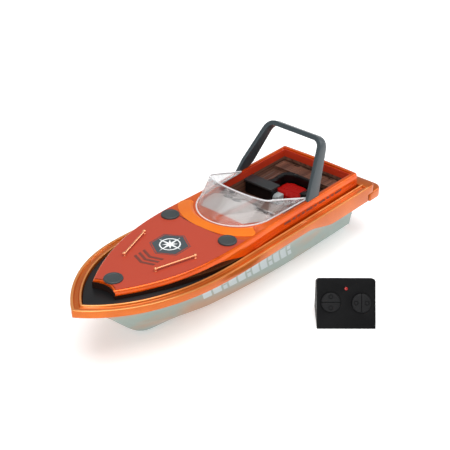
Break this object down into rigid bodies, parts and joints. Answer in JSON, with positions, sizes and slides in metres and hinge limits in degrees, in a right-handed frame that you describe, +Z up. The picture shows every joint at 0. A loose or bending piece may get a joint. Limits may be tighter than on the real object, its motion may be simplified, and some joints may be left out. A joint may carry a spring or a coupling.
{
  "type": "toy radio-controlled speedboat",
  "caption": "Toy remote-control speedboat with open cockpit, clear windscreen, roll arch, twin propellers and a small push-button handset.",
  "frame": {"origin": "amidships on the underside of the flat keel, on the centreline: the surface the boat stands on", "axes": "+X towards the bow, +Y to port, +Z up"},
  "size_m": [0.34, 0.1988, 0.1135],
  "materials": {
    "translucent_hull": "translucent smoke blue-grey, clear moulded",
    "black_rubber": "matt moulded rubber",
    "metallised_rail": "metallic orange lacquer over moulded plastic",
    "black_plastic": "satin moulded plastic",
    "metallised_roof": "glossy metallic orange-red lacquer",
    "red_decal": "satin printed film",
    "badge_print": "printed film with a pale star",
    "plug_rubber": "matt moulded rubber",
    "zinc_steel": "zinc plated",
    "rail_copper": "metallised moulding",
    "clear_screen": "clear polished moulding",
    "cabin_brown": "orange-red lacquer over a plank-printed sole",
    "dash_grey": "satin grey",
    "black_gloss": "gloss black",
    "arch_grey": "satin dark grey",
    "light_grey": "satin light grey",
    "red_vinyl": "stitched vinyl",
    "plank_print": "plank-embossed satin plastic",
    "brass": "drawn tube",
    "shaft_steel": "ground rod",
    "prop_plastic": "glass-filled nylon",
    "motor_steel": "drawn can",
    "white_nylon": "natural nylon",
    "armature": "copper windings on laminations",
    "cell_wrap": "heat-shrunk sleeve",
    "circuit_board": "solder resist",
    "chip_black": "moulded epoxy",
    "wire_red": "soft insulation",
    "handset_black": "fine-textured ABS",
    "button_black": "soft matt rubber",
    "red_lamp": "tinted lens",
    "aaa_wrap": "printed sleeve",
    "spring_steel": "nickel plated"
  },
  "bodies": {
    "boat": {"hull_tub": "translucent_hull", "hull_gasket": "black_rubber", "deck_moulding": "metallised_rail", "foredeck_tray": "black_plastic", "coachroof": "metallised_roof", "deck_decal": "red_decal", "deck_badge": "badge_print", "deck_plugs": "plug_rubber", "deck_screws": "zinc_steel", "grab_rails": "rail_copper", "windscreen": "clear_screen", "cockpit_liner": "cabin_brown", "dash_panel": "dash_grey", "helm_seat": "black_gloss", "helm_seat_cap": "arch_grey", "side_locker": "light_grey", "bench_back": "black_gloss", "bench_cushion": "red_vinyl", "hatch_hinge_pin": "zinc_steel", "roll_arch": "arch_grey", "stern_tubes": "brass", "motor_cans": "motor_steel", "motor_end_caps": "white_nylon", "motor_cradle": "white_nylon", "motor_clamp": "white_nylon", "clamp_screws": "zinc_steel", "battery_tray": "black_plastic", "battery_cell": "cell_wrap", "receiver_board": "circuit_board", "board_chips": "chip_black", "board_screws": "zinc_steel", "wiring_loom": "wire_red", "switch_body": "black_plastic", "charge_socket": "black_plastic", "water_contacts": "brass"},
    "drive_port": {"prop_shaft_port": "shaft_steel", "propeller_port": "prop_plastic", "prop_nut_port": "brass", "coupling_port": "black_rubber", "motor_rotor_port": "armature"},
    "drive_stbd": {"prop_shaft_stbd": "shaft_steel", "propeller_stbd": "prop_plastic", "prop_nut_stbd": "brass", "coupling_stbd": "black_rubber", "motor_rotor_stbd": "armature"},
    "hatch": {"battery_hatch": "plank_print"},
    "switch": {"switch_slider": "black_plastic"},
    "charge_plug": {"charge_cover": "plug_rubber"},
    "handset": {"remote_front": "handset_black", "remote_back": "handset_black", "remote_board": "circuit_board", "remote_lamp": "red_lamp", "remote_cells": "aaa_wrap", "remote_contacts": "spring_steel"},
    "key_ahead": {"button_ahead": "button_black"},
    "key_astern": {"button_astern": "button_black"},
    "key_left": {"button_left": "button_black"},
    "key_right": {"button_right": "button_black"},
    "cell_door": {"remote_battery_door": "handset_black"}
  },
  "joints": [
    {"name": "prop_port_spin", "type": "hinge", "parent": "boat", "child": "drive_port", "pos_m": [-0.158, 0.017, 0.014], "axis": [1, 0, 0], "continuous": true},
    {"name": "prop_stbd_spin", "type": "hinge", "parent": "boat", "child": "drive_stbd", "pos_m": [-0.158, -0.017, 0.014], "axis": [1, 0, 0], "continuous": true},
    {"name": "hatch_hinge", "type": "hinge", "parent": "boat", "child": "hatch", "pos_m": [-0.1345, 0, 0.053], "axis": [0, -1, 0], "range_deg": [0, 85]},
    {"name": "switch_slide", "type": "slide", "parent": "boat", "child": "switch", "axis": [0, 1, 0], "range_m": [0, 0.003]},
    {"name": "charge_plug_pull", "type": "slide", "parent": "boat", "child": "charge_plug", "axis": [-1, 0, 0], "range_m": [0, 0.015]},
    {"name": "handset_lift", "type": "slide", "parent": "boat", "child": "handset", "axis": [0, 0, 1], "range_m": [0, 0.1]},
    {"name": "ahead_press", "type": "slide", "parent": "handset", "child": "key_ahead", "axis": [-0.6469, -0.5624, -0.515], "range_m": [0, 0.0008], "stiffness_N_per_m": 600, "springref_m": -0.0008},
    {"name": "astern_press", "type": "slide", "parent": "handset", "child": "key_astern", "axis": [-0.6469, -0.5624, -0.515], "range_m": [0, 0.0008], "stiffness_N_per_m": 600, "springref_m": -0.0008},
    {"name": "left_press", "type": "slide", "parent": "handset", "child": "key_left", "axis": [-0.6469, -0.5624, -0.515], "range_m": [0, 0.0008], "stiffness_N_per_m": 600, "springref_m": -0.0008},
    {"name": "right_press", "type": "slide", "parent": "handset", "child": "key_right", "axis": [-0.6469, -0.5624, -0.515], "range_m": [0, 0.0008], "stiffness_N_per_m": 600, "springref_m": -0.0008},
    {"name": "cell_door_slide", "type": "slide", "parent": "handset", "child": "cell_door", "axis": [0, 0, 1], "range_m": [0, 0.012]}
  ]
}
